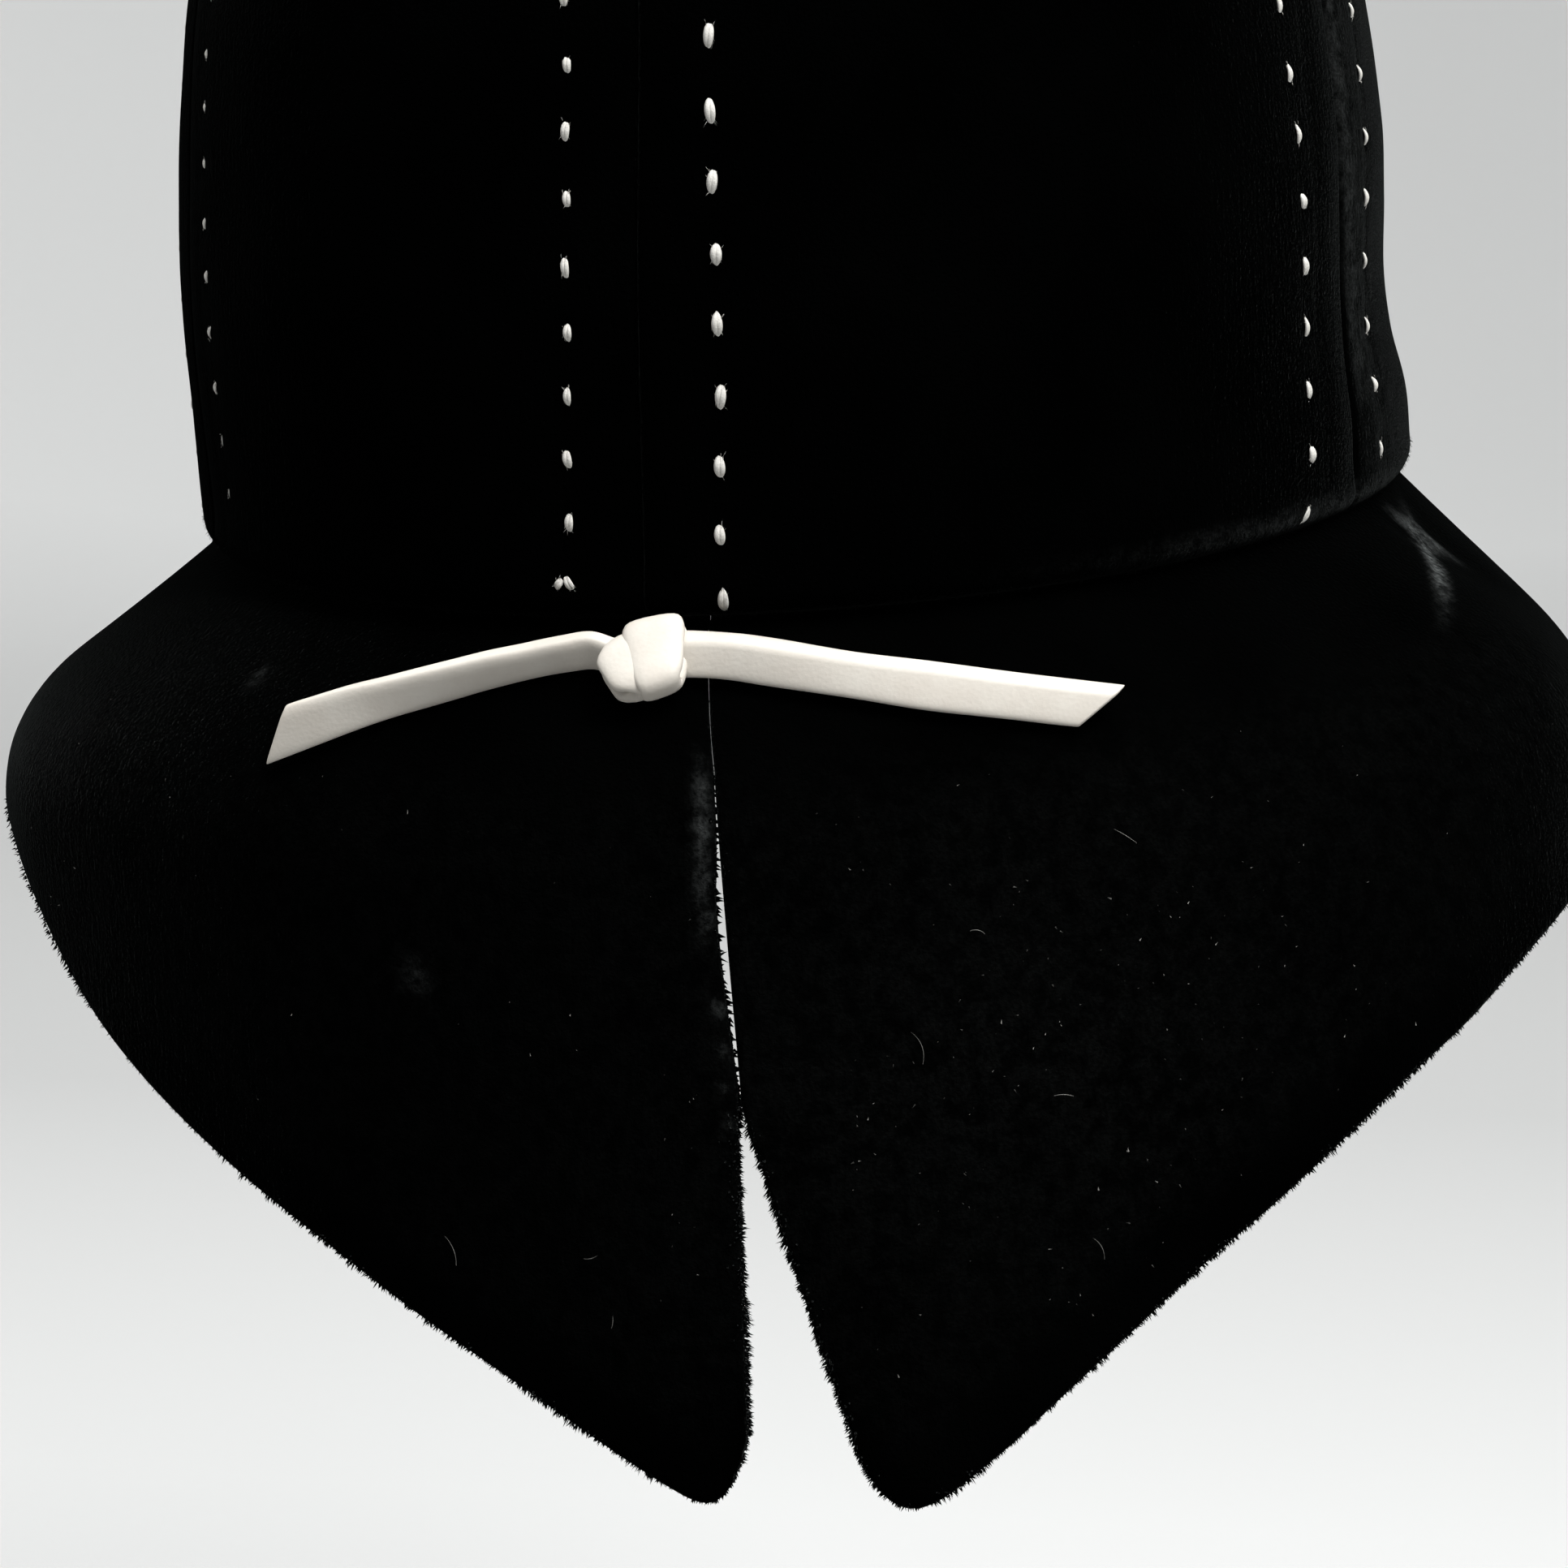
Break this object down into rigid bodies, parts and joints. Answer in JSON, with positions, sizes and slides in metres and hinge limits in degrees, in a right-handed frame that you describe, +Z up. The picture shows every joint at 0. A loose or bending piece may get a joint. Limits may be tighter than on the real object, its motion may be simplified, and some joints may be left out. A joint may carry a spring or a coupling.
{
  "type": "cloche hat",
  "caption": "Soft black velour cloche hat with a deep seamed crown, a drooping bell brim slit into pointed lobes at the back, and a knotted pale leather tie.",
  "frame": {"origin": "centre of the head opening, level with the crown's lower edge", "axes": "+Z up along the crown, +Y towards the front of the hat, +X towards the wearer's right"},
  "size_m": [0.2322, 0.2416, 0.2348],
  "materials": {
    "velour": "deep black long-napped felt with a soft sheen at grazing angles",
    "tie_leather": "smooth warm white leather, satin",
    "thread": "matte white sewing thread"
  },
  "bodies": {
    "root": {"crown_gore_back_right": "velour", "crown_gore_side_right": "velour", "crown_gore_front_right": "velour", "crown_gore_front_left": "velour", "crown_gore_side_left": "velour", "crown_gore_back_left": "velour", "brim": "velour", "leather_tie": "tie_leather"}
  },
  "joints": []
}
